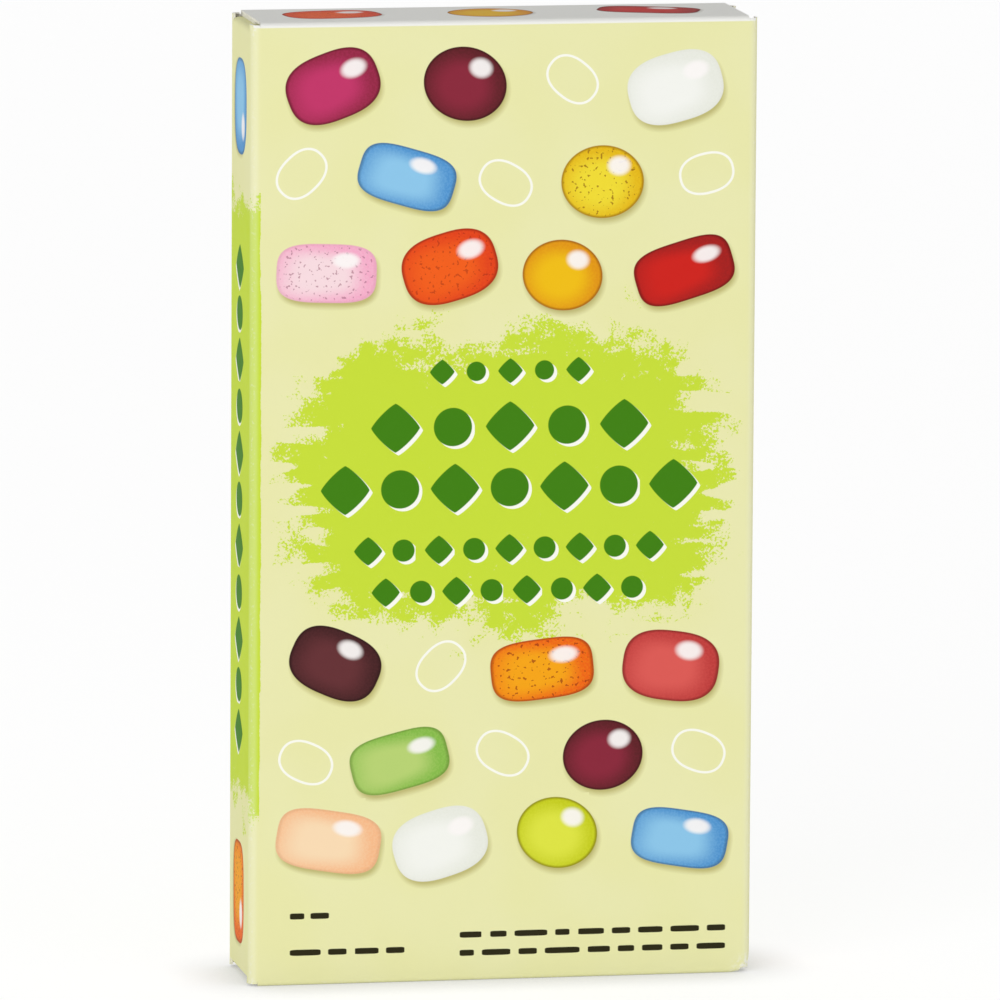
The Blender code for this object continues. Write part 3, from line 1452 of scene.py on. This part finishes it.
@dataclass
class Studio:
    """A pale sweep, soft lights and the camera.

    Attributes:
        sizes: the carton's sizes.
        azimuth: how far left of the front the camera stands, as a negative turn (degrees).
        elevation: how far up it stands (degrees).
        distance: how far off it stands.
        lens: its focal length (mm).
        roll: its turn about its own axis (degrees).
        aim_right: how far right of the carton's middle it looks.
        aim_up: how far above the middle it looks.
        sweep_width: width of the floor and the back wall.
        sweep_front: how far the floor reaches before the carton.
        sweep_back: how far it reaches behind.
        sweep_radius: radius of the bend up to the back wall.
        sweep_height: height of the wall above the bend.
        sweep_grey: how much light the sweep throws back.
        sweep_glow: how much it gives of its own.
        shade_reach: how far from the carton its foot's shadow reaches.
        shade_depth: how deep that shadow is, 0 to 1.
        sky: strength of the even light from all round.
        lamps: the lights.
    """

    sizes: CartonSizes
    azimuth: float = -10.8
    elevation: float = 8.5
    distance: float = 2.0
    lens: float = 443.0
    roll: float = 0.34
    aim_right: float = 1.36 * MM
    aim_up: float = -1.14 * MM
    sweep_width: float = 9.0
    sweep_front: float = 3.6
    sweep_back: float = 3.2
    sweep_radius: float = 0.8
    sweep_height: float = 3.5
    sweep_grey: float = 0.36
    sweep_glow: float = 0.75
    shade_reach: float = 12.0 * MM
    shade_depth: float = 0.7
    sky: float = 0.40
    lamps: tuple[Lamp, ...] = (
        Lamp("key", (-36.0, 18.0), 1.7, 1.2, 10.0),
        Lamp("fill", (38.0, 12.0), 2.0, 1.6, 5.5),
    )

    def build(self) -> None:
        """Sets the sweep, the light and the camera."""
        self._sweep()
        self._sky()
        for lamp in self.lamps:
            self._hang(lamp)
        self._camera()
        bpy.context.scene.view_settings.view_transform = "Standard"

    def _sweep(self) -> None:
        """A floor that curves up into a back wall."""
        bpy.ops.object.select_all(action="DESELECT")
        bpy.ops.mesh.primitive_plane_add(size=1.0)
        floor = bpy.context.object
        floor.name = "sweep"
        bpy.ops.object.mode_set(mode="EDIT")
        bpy.ops.transform.resize(value=(self.sweep_width, self.sweep_front + self.sweep_back, 1.0))
        bpy.ops.transform.translate(value=(0.0, (self.sweep_back - self.sweep_front) / 2, 0.0))
        bpy.ops.mesh.select_mode(type="EDGE")
        bpy.ops.mesh.select_all(action="DESELECT")
        shape = bmesh.from_edit_mesh(floor.data)
        for edge in shape.edges:
            if min(vertex.co.y for vertex in edge.verts) > self.sweep_back / 2:
                edge.select_set(True)
        bmesh.update_edit_mesh(floor.data)
        centre = (0.0, self.sweep_back, self.sweep_radius)
        bpy.ops.mesh.spin(steps=16, angle=-math.pi / 2, center=centre, axis=(1.0, 0.0, 0.0))
        bpy.ops.mesh.extrude_edges_move(TRANSFORM_OT_translate={"value": (0.0, 0.0, self.sweep_height)})
        bpy.ops.object.mode_set(mode="OBJECT")
        bpy.ops.object.shade_smooth()
        floor.data.materials.append(self._sweep_finish())

    def _sweep_finish(self) -> bpy.types.Material:
        """The sweep's even white glow, with a painted shadow that darkens the glow next to the carton's
        foot.
        """
        g = Graph("pale_sweep")
        white = (1.0, 1.0, 1.0)
        # Painted shadow: occlusion near the carton's foot darkens the sweep's glow.
        near = g.node("ShaderNodeAmbientOcclusion", {"samples": 2}, {"Distance": self.shade_reach})
        glow = g.mix(self.shade_depth, white, near.outputs["Color"])
        g.dress(Base_Color=(self.sweep_grey,) * 3, Roughness=0.9)
        g.dress(Emission_Color=glow, Emission_Strength=self.sweep_glow)
        return g.material

    def _sky(self) -> None:
        """An even pale light from all round."""
        world = bpy.data.worlds.new("pale_room")
        world.use_nodes = True
        back = world.node_tree.nodes["Background"]
        back.inputs["Color"].default_value = (1.0, 1.0, 1.0, 1.0)
        back.inputs["Strength"].default_value = self.sky
        bpy.context.scene.world = world

    def _hang(self, lamp: Lamp) -> None:
        """Hangs a lamp."""
        bpy.ops.object.select_all(action="DESELECT")
        target = Vector((0.0, 0.0, self.sizes.height / 2))
        place = target + self._towards(*lamp.way) * lamp.distance
        facing = (target - place).to_track_quat("-Z", "Y").to_euler()
        bpy.ops.object.light_add(type="AREA", location=place, rotation=facing)
        light = bpy.context.object
        light.name = lamp.name
        light.data.size = lamp.size
        light.data.energy = lamp.power

    def _towards(self, azimuth: float, elevation: float) -> Vector:
        """The unit way out from the carton, with azimuth 0 straight in front of it (degrees)."""
        a = math.radians(azimuth)
        e = math.radians(elevation)
        return Vector((math.sin(a) * math.cos(e), -math.cos(a) * math.cos(e), math.sin(e)))

    def _camera(self) -> None:
        """Sets the camera."""
        bpy.ops.object.select_all(action="DESELECT")
        target = Vector((self.aim_right, 0.0, self.sizes.height / 2 + self.aim_up))
        place = target + self._towards(self.azimuth, self.elevation) * self.distance
        facing = (target - place).to_track_quat("-Z", "Y")
        rolled = facing @ Quaternion((0.0, 0.0, 1.0), math.radians(self.roll))
        bpy.ops.object.camera_add(location=place, rotation=rolled.to_euler())
        camera = bpy.context.object
        camera.name = "camera"
        camera.data.lens = self.lens
        camera.data.clip_end = 20.0
        bpy.context.scene.camera = camera


def main() -> None:
    """Builds the carton and the studio."""
    logging.basicConfig(level=logging.INFO, format="%(name)s: %(message)s")
    sizes = CartonSizes.from_frame()
    Carton(sizes).build()
    Studio(sizes).build()


if __name__ == "__main__":
    main()
